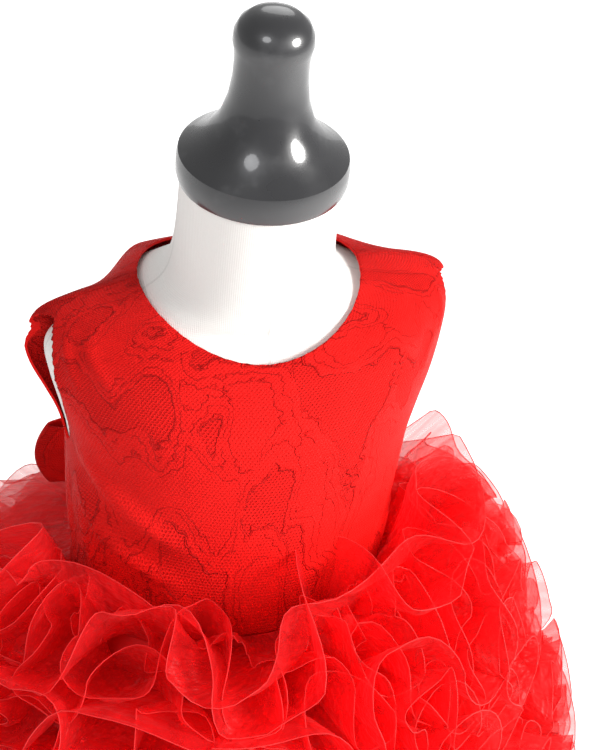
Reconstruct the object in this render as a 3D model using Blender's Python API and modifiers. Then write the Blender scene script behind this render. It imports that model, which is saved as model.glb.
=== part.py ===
"""A child's sleeveless ruffle dress, worn by a limbless dress form on a round stand.

Metres, +Z up. The origin is on the floor under the middle of the stand's foot, the dress faces -Y
and its wearer's left side is at +X. Heights in the tables are counted from the waist seam.
"""

import math
from collections import namedtuple

import bmesh
import bpy
from mathutils import Matrix, Vector

# Driving sizes of the garment.
WAIST_Z = 0.600
LACE_WALL = 0.0014
SKIRT_WALL = 0.0012
ORGANZA_WALL = 0.0011
SEAM_GAP = 0.0003

# Horizontal sections of cloth or form: each is an ellipse at a height above the waist seam.
Section = namedtuple("Section", "height half_width half_depth centre_y")

# Inner face of the bodice, from the waist seam to the shoulder ridge and on to the neck.
BODICE = [
    Section(0.0005, 0.0950, 0.0730, 0.000),
    Section(0.0300, 0.0952, 0.0742, 0.000),
    Section(0.0600, 0.0962, 0.0765, 0.000),
    Section(0.0900, 0.0974, 0.0788, 0.000),
    Section(0.1150, 0.0992, 0.0792, 0.001),
    Section(0.1350, 0.1035, 0.0780, 0.002),
    Section(0.1550, 0.1085, 0.0745, 0.002),
    Section(0.1730, 0.1120, 0.0690, 0.003),
    Section(0.1870, 0.1130, 0.0628, 0.003),
    Section(0.1960, 0.1118, 0.0560, 0.004),
    Section(0.2020, 0.1068, 0.0480, 0.004),
    Section(0.2070, 0.0952, 0.0390, 0.004),
    Section(0.2110, 0.0785, 0.0290, 0.004),
    Section(0.2140, 0.0600, 0.0180, 0.004),
]
BODICE_COLUMNS = 24

# Neck and armholes, cut straight through the bodice as ellipses.
NECK_HALF_WIDTH = 0.0600
NECK_HALF_DEPTH = 0.0565
NECK_CENTRE_Y = 0.0020
NECK_CUT_HEIGHT = 0.1580  # above the waist, where the neck's cut begins
ARMHOLE_HALF_DEPTH = 0.0190
ARMHOLE_CENTRE_Y = -0.0037
ARMHOLE_INNER_X = 0.0450
Armhole = namedtuple("Armhole", "side x_sign height half_height")
ARMHOLES = [
    Armhole("right", -1, 0.155, 0.042),
    Armhole("left", 1, 0.160, 0.047),
]
CUT_REACH = 0.1600

# The shoulders are thin at their tips: from the shoulder ridge back, form and cloth draw in.
RIDGE_Y = 0.0040
TIP_DRAW = 0.60  # share of the depth behind the ridge that is lost at the tips
TIP_START_X = 0.0500
TIP_FULL_X = 0.0850
TIP_START_HEIGHT = 0.1500
TIP_FULL_HEIGHT = 0.1900
# Form and dress lean a little, so that the wearer's right shoulder is the lower one.
LEAN = 0.050
LEAN_START_HEIGHT = 0.120
LEAN_START_X = 0.0450
LEAN_FULL_X = 0.0800

# Soft drag folds of the bodice, as ridges between two points given by angle and height. The first
# two let the back armhole edges stand off the form.
Fold = namedtuple("Fold", "angle_a height_a angle_b height_b half_width depth")
FOLDS = [
    Fold(168.0, 0.108, 170.0, 0.210, 0.0130, 0.0095),
    Fold(17.0, 0.112, 14.0, 0.207, 0.0170, 0.0030),
    Fold(189.0, 0.098, 246.0, 0.040, 0.0068, 0.0050),
    Fold(178.0, 0.104, 187.0, 0.004, 0.0050, 0.0026),
    Fold(356.0, 0.060, 330.0, 0.010, 0.0080, 0.0020),
    Fold(176.0, 0.064, 146.0, 0.008, 0.0080, 0.0026),
    Fold(5.0, 0.070, 32.0, 0.006, 0.0085, 0.0028),
    Fold(3.0, 0.036, 20.0, 0.004, 0.0060, 0.0020),
]

# Inner face of the underskirt that carries the ruffles, from the waist seam to the hem.
UNDERSKIRT = [
    Section(-0.0005, 0.0950, 0.0730, 0.0),
    Section(-0.0150, 0.1065, 0.0865, 0.0),
    Section(-0.0450, 0.1290, 0.1130, 0.0),
    Section(-0.0950, 0.1540, 0.1410, 0.0),
    Section(-0.1500, 0.1740, 0.1640, 0.0),
    Section(-0.2050, 0.1900, 0.1815, 0.0),
    Section(-0.2600, 0.2040, 0.1970, 0.0),
    Section(-0.3150, 0.2155, 0.2095, 0.0),
    Section(-0.3550, 0.2230, 0.2180, 0.0),
]
# The bell is cut in four gores, a row each: its name and the two angles it lies between.
Gore = namedtuple("Gore", "name first last")
GORES = [
    Gore("underskirt_front", 225.0, 315.0),
    Gore("underskirt_left", 315.0, 405.0),
    Gore("underskirt_back", 45.0, 135.0),
    Gore("underskirt_right", 135.0, 225.0),
]
GORE_COLUMNS = 12

# Organza ruffles. A strip leaves its seam at a mean lift above level and swings up and down by the
# swing as it goes round. Behind, under the bow, the rear lift and swing take over.
Tier = namedtuple("Tier", "height strip lift swing rear_lift rear_swing waves crest uneven")
TIERS = [
    Tier(-0.0050, 0.078, 50.0, 36.0, -27.0, 7.0, 7, 243.0, -0.7),
    Tier(-0.0270, 0.078, 25.0, 30.0, -35.0, 7.0, 7, 243.0, -0.7),
    Tier(-0.0560, 0.073, 12.0, 25.0, -36.0, 7.0, 7, 243.0, -0.7),
    Tier(-0.0950, 0.074, -4.0, 18.0, -37.0, 8.0, 13, 229.0, 2.9),
    Tier(-0.1400, 0.074, -3.0, 20.0, -32.0, 9.0, 14, 250.0, 4.1),
    Tier(-0.1880, 0.073, -6.0, 20.0, -30.0, 10.0, 15, 238.0, 5.6),
    Tier(-0.2380, 0.072, -9.0, 20.0, -24.0, 12.0, 16, 255.0, 0.7),
    Tier(-0.2920, 0.070, -14.0, 21.0, -14.0, 21.0, 17, 244.0, 2.2),
]
COLUMNS_PER_WAVE = 7
LEAST_COLUMNS = 63
SLOPE_STEP = 0.003  # how far below a seam the underskirt's slope is read
STRIP_ROWS = 2
REAR_CENTRE = 102.0  # the angle about which the rear lift and swing are centred
REAR_FULL = 62.0  # degrees to each side of it where they are full
REAR_NONE = 98.0
LOOP_OVERHANG = 0.080  # of a wave: how far each crest widens over the narrower fold beside it
SLOW_RIPPLE = 0.30  # share by which waves widen and narrow, three times round the ring
QUICK_RIPPLE = 0.20  # the same, five times round

# Bow on the back of the waist: two folded wings and a narrow band round the pinch.
BOW_HEIGHT = 0.0205
BOW_Y = 0.0892
BOW_BAND_HALF_WIDTH = 0.0095
BOW_BAND_HALF_DEPTH = 0.0130
BOW_BAND_HALF_HEIGHT = 0.0135
BOW_PINCH_HALF_HEIGHT = 0.0105
BOW_WING_HALF_HEIGHT = 0.0245
BOW_WING_REACH = 0.0900
BOW_WING_PUFF = 0.0095
BOW_WING_SWEEP = -0.0120
BOW_WALL = 0.0015
WING_SWELL_START = 0.12  # half turns of a sine that a wing swells along, from the band to its fold
WING_SWELL_SPAN = 0.70
WING_SLACK = 0.0035
WING_PLEAT = 0.0022
WING_BULGE = 0.008  # how much longer a wing's middle is than its corners
WING_DROOP = 0.001
WING_STEPS = 14
WING_ROWS = 4

# Dress form: a closed torso with its neck, a turned neck cap, and a stand.
FORM = [
    Section(-0.1700, 0.0900, 0.0740, 0.000),
    Section(-0.1660, 0.0960, 0.0790, 0.000),
    Section(-0.1200, 0.1000, 0.0820, 0.000),
    Section(-0.0600, 0.0960, 0.0760, 0.000),
    Section(-0.0200, 0.0915, 0.0705, 0.000),
    Section(0.0200, 0.0918, 0.0716, 0.000),
    Section(0.0600, 0.0944, 0.0750, 0.000),
    Section(0.0900, 0.0970, 0.0784, 0.000),
    Section(0.1150, 0.0988, 0.0788, 0.001),
    Section(0.1350, 0.1026, 0.0766, 0.001),
    Section(0.1600, 0.1080, 0.0708, 0.002),
    Section(0.1780, 0.1102, 0.0642, 0.003),
    Section(0.1890, 0.1060, 0.0568, 0.003),
    Section(0.1975, 0.0930, 0.0500, 0.003),
    Section(0.2040, 0.0740, 0.0455, 0.003),
    Section(0.2100, 0.0580, 0.0445, 0.001),
    Section(0.2200, 0.0470, 0.0430, -0.001),
    Section(0.2400, 0.0425, 0.0415, -0.003),
    Section(0.2800, 0.0415, 0.0410, -0.006),
]
FORM_COLUMNS = 32

# Turned neck cap, outer side from top to bottom, as radius and height above the waist seam.
NECK_CAP_Y = -0.0060
CapPoint = namedtuple("CapPoint", "radius height")
NECK_CAP = [
    CapPoint(0.0000, 0.3735),
    CapPoint(0.0065, 0.3729),
    CapPoint(0.0125, 0.3708),
    CapPoint(0.0170, 0.3670),
    CapPoint(0.0194, 0.3620),
    CapPoint(0.0198, 0.3570),
    CapPoint(0.0190, 0.3535),
    CapPoint(0.0184, 0.3480),
    CapPoint(0.0186, 0.3380),
    CapPoint(0.0202, 0.3260),
    CapPoint(0.0240, 0.3140),
    CapPoint(0.0310, 0.3040),
    CapPoint(0.0390, 0.2980),
    CapPoint(0.0432, 0.2950),
    CapPoint(0.0440, 0.2910),
    CapPoint(0.0440, 0.2840),
    CapPoint(0.0430, 0.2803),
    CapPoint(0.0000, 0.2803),
]
TURN_STEPS = 28

POLE_RADIUS = 0.0125
COLLAR_RADIUS = 0.0320
COLLAR_HUB_RADIUS = 0.0190
COLLAR_PLATE = 0.0040
COLLAR_HEIGHT = 0.0300
FOOT_RADIUS = 0.1500
FOOT_EDGE = 0.0080
FOOT_HEIGHT = 0.0140
FOOT_HUB_RADIUS = 0.0240
FOOT_HUB_HEIGHT = 0.0380

# Colour, roughness and metallic value of each finish.
Finish = namedtuple("Finish", "colour roughness metallic")
FINISHES = {
    "lace": Finish((0.72, 0.012, 0.012), 0.75, 0.0),
    "satin": Finish((0.62, 0.008, 0.010), 0.45, 0.0),
    "organza": Finish((0.80, 0.018, 0.018), 0.50, 0.0),
    "form_cloth": Finish((0.86, 0.86, 0.83), 0.85, 0.0),
    "black_wood": Finish((0.02, 0.02, 0.022), 0.30, 0.0),
    "stand_metal": Finish((0.03, 0.03, 0.032), 0.35, 0.6),
}


def clear_scene():
    for obj in list(bpy.data.objects):
        bpy.data.objects.remove(obj)


def new_collection(name):
    group = bpy.data.collections.new(name)
    bpy.context.scene.collection.children.link(group)
    return group


def make_finishes():
    made = {}
    for name, finish in FINISHES.items():
        material = bpy.data.materials.new(name)
        material.use_nodes = True
        shader = material.node_tree.nodes["Principled BSDF"]
        shader.inputs["Base Color"].default_value = (*finish.colour, 1.0)
        shader.inputs["Roughness"].default_value = finish.roughness
        shader.inputs["Metallic"].default_value = finish.metallic
        made[name] = material
    return made


def add_object(name, mesh, group, material=None):
    obj = bpy.data.objects.new(name, mesh)
    group.objects.link(obj)
    if material:
        mesh.materials.append(material)
    return obj


def move_to(group, obj):
    for holder in list(obj.users_collection):
        holder.objects.unlink(obj)
    group.objects.link(obj)


def shade(mesh, crease_degrees=40.0):
    mesh.shade_smooth()
    mesh.set_sharp_from_angle(angle=math.radians(crease_degrees))


def grid_mesh(name, rows, close_round=False, cap_ends=False):
    """A surface through rows of points, joined round if wanted, its ends filled if wanted."""
    shape = bmesh.new()
    grid = [[shape.verts.new(point) for point in row] for row in rows]
    columns = len(rows[0])
    last = columns if close_round else columns - 1
    for lower, upper in zip(grid, grid[1:]):
        for i in range(last):
            j = (i + 1) % columns
            shape.faces.new((lower[i], lower[j], upper[j], upper[i]))
    if cap_ends:
        shape.faces.new(list(reversed(grid[0])))
        shape.faces.new(grid[-1])
    mesh = bpy.data.meshes.new(name)
    shape.to_mesh(mesh)
    shape.free()
    return mesh


def thicken(obj, wall, offset=1.0):
    solid = obj.modifiers.new("wall", "SOLIDIFY")
    solid.thickness = wall
    solid.offset = offset
    return solid


def cut(obj, cutter):
    difference = obj.modifiers.new("cut", "BOOLEAN")
    difference.operation = "DIFFERENCE"
    difference.solver = "EXACT"
    difference.object = cutter


def ellipse_point(section, degrees, grow=0.0):
    """A point of a section's ellipse, moved out along the ellipse's normal by grow."""
    angle = math.radians(degrees)
    across, along = math.cos(angle), math.sin(angle)
    point = Vector((
        section.half_width * across,
        section.centre_y + section.half_depth * along,
        WAIST_Z + section.height,
    ))
    normal = Vector((across / section.half_width, along / section.half_depth, 0.0)).normalized()
    return point + normal * grow


def eased(value, start, end):
    """0 at start and 1 at end, smooth between."""
    share = min(1.0, max(0.0, (value - start) / (end - start)))
    return share * share * (3.0 - 2.0 * share)


def shoulder_point(point):
    """Draws a point of form or bodice in behind the shoulder tips, and leans the shoulders."""
    height = point.z - WAIST_Z
    at_tip = eased(abs(point.x), TIP_START_X, TIP_FULL_X)
    draw = TIP_DRAW * at_tip * eased(height, TIP_START_HEIGHT, TIP_FULL_HEIGHT)
    behind_ridge = max(0.0, point.y - RIDGE_Y)
    at_side = eased(abs(point.x), LEAN_START_X, LEAN_FULL_X)
    rise = LEAN * point.x * at_side * eased(height, LEAN_START_HEIGHT, TIP_FULL_HEIGHT)
    return Vector((point.x, point.y - draw * behind_ridge, point.z + rise))


def section_at(sections, height):
    """The section at a height, between the two nearest rows of its table."""
    ordered = sorted(sections, key=lambda row: row.height)
    for low, high in zip(ordered, ordered[1:]):
        if low.height <= height <= high.height:
            share = (height - low.height) / (high.height - low.height)
            return Section(*(a + (b - a) * share for a, b in zip(low, high)))
    return ordered[0] if height < ordered[0].height else ordered[-1]


def fold_rise(degrees, height, radius):
    """How far the drag folds lift the bodice at an angle and height."""
    rise = 0.0
    here = Vector((math.radians(degrees) * radius, height))
    for fold in FOLDS:
        start = Vector((math.radians(fold.angle_a) * radius, fold.height_a))
        end = Vector((math.radians(fold.angle_b) * radius, fold.height_b))
        run = end - start
        along = (here - start).dot(run) / run.length_squared
        if not 0.0 < along < 1.0:
            continue
        aside = (here - start - run * along).length / fold.half_width
        rise = max(rise, fold.depth * math.exp(-aside * aside) * math.sin(math.pi * along))
    return rise


def bodice_panel(name, first, last, columns, push, group, material, cutters):
    """Bodice cloth between two angles, moved off its neighbour at the seams, then cut out."""
    rows = []
    for section in BODICE:
        row = []
        for column in range(columns + 1):
            degrees = first + (last - first) * column / columns
            rise = fold_rise(degrees % 360.0, section.height, section.half_width)
            point = shoulder_point(ellipse_point(section, degrees, rise))
            row.append(point + Vector(push))
        rows.append(row)
    mesh = grid_mesh(name, rows)
    shade(mesh)
    obj = add_object(name, mesh, group, material)
    thicken(obj, LACE_WALL)
    for cutter in cutters:
        cut(obj, cutter)
    return obj


def elliptic_cutter(name, half_a, half_b, length, centre, along_x, group):
    """A closed elliptic cylinder, standing or lying along X, that only cuts."""
    shape = bmesh.new()
    bmesh.ops.create_cone(
        shape, cap_ends=True, segments=56, radius1=1.0, radius2=1.0, depth=length
    )
    bmesh.ops.scale(shape, vec=(half_a, half_b, 1.0), verts=shape.verts)
    mesh = bpy.data.meshes.new(name)
    shape.to_mesh(mesh)
    shape.free()
    obj = add_object(name, mesh, group)
    obj.location = centre
    if along_x:
        obj.rotation_euler = (0.0, math.radians(90.0), 0.0)
    obj.hide_render = True
    obj.display_type = "WIRE"
    return obj


def make_bodice(parts, cutters, finishes):
    neck = elliptic_cutter(
        "neck_cutter", NECK_HALF_WIDTH, NECK_HALF_DEPTH, CUT_REACH,
        (0.0, NECK_CENTRE_Y, WAIST_Z + NECK_CUT_HEIGHT + CUT_REACH / 2), False, cutters,
    )
    armholes = [
        elliptic_cutter(
            f"armhole_cutter_{hole.side}", hole.half_height, ARMHOLE_HALF_DEPTH, CUT_REACH,
            (
                hole.x_sign * (ARMHOLE_INNER_X + CUT_REACH / 2), ARMHOLE_CENTRE_Y,
                WAIST_Z + hole.height,
            ),
            True, cutters,
        )
        for hole in ARMHOLES
    ]
    half_gap = SEAM_GAP / 2
    lace = finishes["lace"]
    bodice_panel(
        "bodice_front", 180.0, 360.0, BODICE_COLUMNS, (0.0, -half_gap, 0.0), parts, lace,
        [neck, *armholes],
    )
    bodice_panel(
        "bodice_back_left", 0.0, 90.0, BODICE_COLUMNS // 2, (half_gap, half_gap, 0.0), parts, lace,
        [neck, armholes[1]],
    )
    bodice_panel(
        "bodice_back_right", 90.0, 180.0, BODICE_COLUMNS // 2, (-half_gap, half_gap, 0.0), parts, lace,
        [neck, armholes[0]],
    )


def make_underskirt(parts, finishes):
    for gore in GORES:
        rows = []
        for section in reversed(UNDERSKIRT):
            hem = math.degrees(SEAM_GAP / 2 / section.half_depth)
            first, last = gore.first + hem, gore.last - hem
            rows.append([
                ellipse_point(section, first + (last - first) * column / GORE_COLUMNS)
                for column in range(GORE_COLUMNS + 1)
            ])
        mesh = grid_mesh(gore.name, rows)
        shade(mesh)
        obj = add_object(gore.name, mesh, parts, finishes["satin"])
        thicken(obj, SKIRT_WALL)


def behind(degrees):
    """0 in front and at the sides, rising smoothly to 1 across the back."""
    away = abs((degrees - REAR_CENTRE + 180.0) % 360.0 - 180.0)
    return eased(-away, -REAR_NONE, -REAR_FULL)


def ruffle_point(tier, wave, out):
    """A point of a ruffle: wave counts crests round the ring, out runs from 0 at the seam to 1.

    Slow ripples make the waves uneven in width and height, so no two loops are alike.
    """
    turn = 2.0 * math.pi * wave / tier.waves
    slow = SLOW_RIPPLE / 3.0 * math.sin(3.0 * turn + tier.uneven)
    quick = QUICK_RIPPLE / 5.0 * math.sin(5.0 * turn + 2.0 * tier.uneven)
    shift = (slow + quick) * tier.waves / (2.0 * math.pi)
    overhang = LOOP_OVERHANG * out * math.sin(4.0 * math.pi * wave)
    degrees = tier.crest + 360.0 * (wave - 0.25 + shift - overhang) / tier.waves
    rear = behind(degrees)
    lift = tier.lift + (tier.rear_lift - tier.lift) * rear
    swing = tier.swing + (tier.rear_swing - tier.swing) * rear
    height = (0.88 + 0.12 * math.sin(4.0 * turn + 3.0 * tier.uneven)) * (0.75 + 0.25 * out)
    pitch = math.radians(lift + swing * height * math.sin(2.0 * math.pi * wave))
    section = section_at(UNDERSKIRT, tier.height)
    on_skirt = ellipse_point(section, degrees)
    outward = (ellipse_point(section, degrees, 1.0) - on_skirt).normalized()
    below = ellipse_point(section_at(UNDERSKIRT, tier.height - SLOPE_STEP), degrees)
    slope = math.atan2((below - on_skirt).dot(outward), SLOPE_STEP)
    normal = outward * math.cos(slope) + Vector((0.0, 0.0, math.sin(slope)))
    root = on_skirt + normal * (SKIRT_WALL + SEAM_GAP + 0.4 * ORGANZA_WALL)
    return root + tier.strip * out * (outward * math.cos(pitch) + Vector((0, 0, math.sin(pitch))))


def make_ruffles(parts, finishes):
    for number, tier in enumerate(TIERS, start=1):
        columns = max(tier.waves * COLUMNS_PER_WAVE, LEAST_COLUMNS)
        rows = [
            [
                ruffle_point(tier, tier.waves * column / columns, row / STRIP_ROWS)
                for column in range(columns)
            ]
            for row in range(STRIP_ROWS + 1)
        ]
        name = f"ruffle_{number}"
        mesh = grid_mesh(name, rows, close_round=True)
        shade(mesh)
        obj = add_object(name, mesh, parts, finishes["organza"])
        thicken(obj, ORGANZA_WALL, 0.0)


def bow_wing_point(side, along, up):
    """A point of a folded wing: along runs from the band out, round the fold and back."""
    out = math.sin(math.pi * along)
    swell = math.sin(math.pi * (WING_SWELL_START + WING_SWELL_SPAN * out))
    face = math.cos(math.pi * along)
    reach = BOW_BAND_HALF_WIDTH + SEAM_GAP + BOW_WALL / 2 + BOW_WING_REACH * out
    spread = BOW_PINCH_HALF_HEIGHT + (BOW_WING_HALF_HEIGHT - BOW_PINCH_HALF_HEIGHT) * out ** 0.9
    puff = (WING_SLACK + BOW_WING_PUFF * swell) * face
    pleat = WING_PLEAT * math.cos(3.0 * math.pi * up) * (1.0 - out)
    return Vector((
        side * (reach + WING_BULGE * out * (1.0 - up * up)),
        BOW_Y + BOW_WING_SWEEP * out + puff + pleat,
        WAIST_Z + BOW_HEIGHT + spread * up - WING_DROOP * out,
    ))


def make_bow(parts, finishes):
    for name, side in (("bow_wing_right", -1), ("bow_wing_left", 1)):
        rows = [
            [
                bow_wing_point(side, step / WING_STEPS, side * (2.0 * row / WING_ROWS - 1.0))
                for row in range(WING_ROWS + 1)
            ]
            for step in range(WING_STEPS + 1)
        ]
        mesh = grid_mesh(name, rows)
        shade(mesh)
        obj = add_object(name, mesh, parts, finishes["lace"])
        thicken(obj, BOW_WALL, 0.0)
    bpy.ops.mesh.primitive_cube_add(size=2.0)
    band = bpy.context.object
    band.name = "bow_band"
    band.data.transform(Matrix.Diagonal(
        (BOW_BAND_HALF_WIDTH, BOW_BAND_HALF_DEPTH, BOW_BAND_HALF_HEIGHT, 1.0)
    ))
    band.location = (0.0, BOW_Y, WAIST_Z + BOW_HEIGHT)
    band.data.materials.append(finishes["lace"])
    rounding = band.modifiers.new("rounding", "BEVEL")
    rounding.width = 0.005
    rounding.segments = 3
    band.data.shade_smooth()
    move_to(parts, band)


def turned(name, profile, group, material):
    """A solid of revolution about Z from a profile that runs down its outer side."""
    mesh = bpy.data.meshes.new(name)
    points = [(radius, 0.0, height) for radius, height in profile]
    mesh.from_pydata(points, [(i, i + 1) for i in range(len(points) - 1)], [])
    obj = add_object(name, mesh, group, material)
    turn = obj.modifiers.new("turn", "SCREW")
    turn.steps = TURN_STEPS
    turn.render_steps = TURN_STEPS
    turn.use_merge_vertices = True
    turn.merge_threshold = 0.00001
    return obj


def make_form(parts, finishes):
    rows = [
        [
            shoulder_point(ellipse_point(section, 360.0 * column / FORM_COLUMNS))
            for column in range(FORM_COLUMNS)
        ]
        for section in FORM
    ]
    torso = grid_mesh("form_torso", rows, close_round=True, cap_ends=True)
    shade(torso)
    add_object("form_torso", torso, parts, finishes["form_cloth"])
    cap = turned("form_neck_cap", NECK_CAP, parts, finishes["black_wood"])
    cap.location = (0.0, NECK_CAP_Y, WAIST_Z)


def make_stand(parts, finishes):
    metal = finishes["stand_metal"]
    form_bottom = WAIST_Z + FORM[0].height
    collar_top = form_bottom - SEAM_GAP
    turned("stand_collar", [
        (0.0, collar_top),
        (COLLAR_RADIUS, collar_top),
        (COLLAR_RADIUS, collar_top - COLLAR_PLATE),
        (COLLAR_HUB_RADIUS, collar_top - 1.6 * COLLAR_PLATE),
        (COLLAR_HUB_RADIUS, collar_top - COLLAR_HEIGHT),
        (0.0, collar_top - COLLAR_HEIGHT),
    ], parts, metal)
    pole_top = collar_top - COLLAR_HEIGHT - SEAM_GAP
    pole_bottom = FOOT_HUB_HEIGHT + SEAM_GAP
    bpy.ops.mesh.primitive_cylinder_add(
        vertices=TURN_STEPS, radius=POLE_RADIUS, depth=pole_top - pole_bottom,
        location=(0.0, 0.0, (pole_top + pole_bottom) / 2),
    )
    pole = bpy.context.object
    pole.name = "stand_pole"
    pole.data.materials.append(metal)
    move_to(parts, pole)
    turned("stand_foot", [
        (0.0, FOOT_HUB_HEIGHT),
        (FOOT_HUB_RADIUS * 0.8, FOOT_HUB_HEIGHT),
        (FOOT_HUB_RADIUS, FOOT_HUB_HEIGHT * 0.5),
        (FOOT_HUB_RADIUS * 1.6, FOOT_HEIGHT),
        (FOOT_RADIUS - FOOT_EDGE, FOOT_EDGE * 1.25),
        (FOOT_RADIUS, FOOT_EDGE),
        (FOOT_RADIUS, 0.0),
        (0.0, 0.0),
    ], parts, metal)


def main():
    clear_scene()
    parts = new_collection("ruffle_dress")
    cutters = new_collection("cutters")
    finishes = make_finishes()
    make_bodice(parts, cutters, finishes)
    make_underskirt(parts, finishes)
    make_ruffles(parts, finishes)
    make_bow(parts, finishes)
    make_form(parts, finishes)
    make_stand(parts, finishes)


main()
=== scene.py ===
# %% [markdown]
# A child's party dress on a small dress form. The bodice is corded lace laid over red satin, and
# the skirt is a satin bell that carries ring after ring of sheer organza ruffles. The fixed frame
# comes first: its solids say where each piece sits, and every new piece stays on them.

import math
from collections import namedtuple

import bmesh
import bpy
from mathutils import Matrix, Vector, noise


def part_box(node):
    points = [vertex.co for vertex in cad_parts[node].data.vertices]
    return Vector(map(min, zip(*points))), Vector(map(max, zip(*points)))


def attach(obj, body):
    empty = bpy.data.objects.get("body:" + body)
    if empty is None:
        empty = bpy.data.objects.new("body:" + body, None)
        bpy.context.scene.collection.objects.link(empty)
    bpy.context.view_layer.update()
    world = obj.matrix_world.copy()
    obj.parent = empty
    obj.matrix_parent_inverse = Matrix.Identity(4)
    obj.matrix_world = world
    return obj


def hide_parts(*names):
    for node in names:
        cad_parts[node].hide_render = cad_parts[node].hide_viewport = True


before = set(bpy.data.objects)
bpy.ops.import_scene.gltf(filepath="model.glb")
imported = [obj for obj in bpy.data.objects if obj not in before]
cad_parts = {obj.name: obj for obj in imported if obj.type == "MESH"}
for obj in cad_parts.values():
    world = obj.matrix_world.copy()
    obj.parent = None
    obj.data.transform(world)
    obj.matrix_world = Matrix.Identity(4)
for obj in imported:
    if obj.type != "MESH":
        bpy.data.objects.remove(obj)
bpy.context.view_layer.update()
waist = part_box("underskirt_front")[1].z
print("waist seam at", round(waist, 4), "m")

# %% [markdown]
# The picture was taken from above and a little to the wearer's right, with the camera tilted. A
# camera is easiest to place by its direction and distance from a point on the object, so the
# angles are named here and the three axes of the camera are worked out from them.

# %% Camera
VIEW_TURN = math.radians(-18.6)
VIEW_RISE = math.radians(41.1)
VIEW_ROLL = math.radians(6.8)
VIEW_DISTANCE = 0.900
VIEW_TARGET = Vector((0.0313, -0.0104, waist + 0.1453))
LENS_MM = 76.6

back = Vector((
    math.sin(VIEW_TURN) * math.cos(VIEW_RISE),
    -math.cos(VIEW_TURN) * math.cos(VIEW_RISE),
    math.sin(VIEW_RISE),
))
level = Vector((math.cos(VIEW_TURN), math.sin(VIEW_TURN), 0.0))
steep = back.cross(level)
across = level * math.cos(VIEW_ROLL) + steep * math.sin(VIEW_ROLL)
upright = steep * math.cos(VIEW_ROLL) - level * math.sin(VIEW_ROLL)

camera_data = bpy.data.cameras.new("camera")
camera_data.lens = LENS_MM
camera_data.clip_start = 0.01
camera = bpy.data.objects.new("camera", camera_data)
bpy.context.scene.collection.objects.link(camera)
camera.location = VIEW_TARGET + back * VIEW_DISTANCE
turn = camera.matrix_world.to_3x3()
turn.col[0], turn.col[1], turn.col[2] = across, upright, back
camera.rotation_euler = turn.to_euler()
bpy.context.scene.camera = camera
print("camera at", [round(value, 3) for value in camera.location])

# %% [markdown]
# A finish is a small network of nodes. One helper adds a node and fills its sockets, either with
# a value or with a link from another node, so that each finish below reads as a short recipe.

# %% Helpers for finishes
RED_LACE = (0.76, 0.011, 0.009, 1.0)
# Shaded red: painted shade in lace holes, cords, cloud patches and satin folds; also the lace grain.
RED_SHADE_AND_GRAIN = (0.30, 0.001, 0.002, 1.0)
RED_SATIN = (0.85, 0.003, 0.004, 1.0)
RED_ORGANZA = (0.96, 0.026, 0.030, 1.0)
RED_THROUGH = (0.98, 0.006, 0.010, 1.0)
RED_THREAD = (0.74, 0.007, 0.009, 1.0)


def new_finish(name):
    """An empty finish: its material, its node tree and the output to end at."""
    material = bpy.data.materials.new(name)
    material.use_nodes = True
    tree = material.node_tree
    tree.nodes.clear()
    end = tree.nodes.new("ShaderNodeOutputMaterial")
    return material, tree, end


def add(tree, kind, settings=None, **sockets):
    """Adds a node. A socket is named with its spaces as underscores, or as _0, _1 by its place."""
    node = tree.nodes.new(kind)
    for field, value in (settings or {}).items():
        setattr(node, field, value)
    for name, value in sockets.items():
        by_place = name[0] == "_" and name[1:].isdigit()
        socket = node.inputs[int(name[1:])] if by_place else node.inputs[name.replace("_", " ")]
        if isinstance(value, bpy.types.NodeSocket):
            tree.links.new(value, socket)
        else:
            socket.default_value = value
    return node


def maths(tree, operation, *values):
    """The result of a Math node on one to three values or sockets."""
    places = {f"_{place}": value for place, value in enumerate(values)}
    return add(tree, "ShaderNodeMath", {"operation": operation}, **places).outputs[0]


def band(tree, value, start, end, low=0.0, high=1.0):
    """A smooth ramp from low to high as value goes from start to end."""
    ramp = add(
        tree, "ShaderNodeMapRange", {"interpolation_type": "SMOOTHSTEP"},
        Value=value, From_Min=start, From_Max=end, To_Min=low, To_Max=high,
    )
    return ramp.outputs["Result"]


def mixed(tree, share, first, second):
    """A colour between first and second."""
    mix = add(tree, "ShaderNodeMix", {"data_type": "RGBA"}, Factor=share, _6=first, _7=second)
    return mix.outputs[2]


def cloth_mm(tree):
    """The cloth's own flat coordinates in millimetres, from the UV map that each piece carries."""
    flat = add(tree, "ShaderNodeUVMap", {"uv_map": "cloth"}).outputs["UV"]
    scaled = add(tree, "ShaderNodeVectorMath", {"operation": "SCALE"}, _0=flat, Scale=1000.0)
    return scaled.outputs[0]


# %% [markdown]
# Corded lace is a fine net with leaves and petals worked in denser cloth, and a heavier thread
# couched along every outline. The net repeats every two millimetres, made from two crossing
# waves. The motifs are the level lines of a slow noise, which meander and close up as the real
# outlines do. Small round bites along them come from a cell pattern, as scallops. The cord is a
# raised line along each outline, broken here and there. Each level has its own share of breaks.
# The net's holes, the cords and soft cloudy patches are darkened with painted shade.

# %% Lace finish
NET_PITCH_MM = 2.0
NET_TURN = math.radians(62.0)
NET_SLANT = 0.58
MOTIF_MM = 27.0
MOTIF_STRETCH = 0.50
MOTIF_DRIFT_MM = 18.0
MOTIF_DRIFT_REACH_MM = 9.0
SCALLOP_MM = 5.4
SCALLOP_DRIFT_MM = 9.0
SCALLOP_DRIFT_REACH_MM = 2.0
SCALLOP_DEPTH = 0.050
SERRATION = 0.007
CORD_HALF = 0.0052
Level = namedtuple("Level", "height break_share")
LEVELS = [
    Level(0.385, 0.34),
    Level(0.405, 0.46),
    Level(0.480, 0.38),
    Level(0.555, 0.36),
]
BREAK_MM = 15.0
FINE_MM = 0.9
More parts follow.
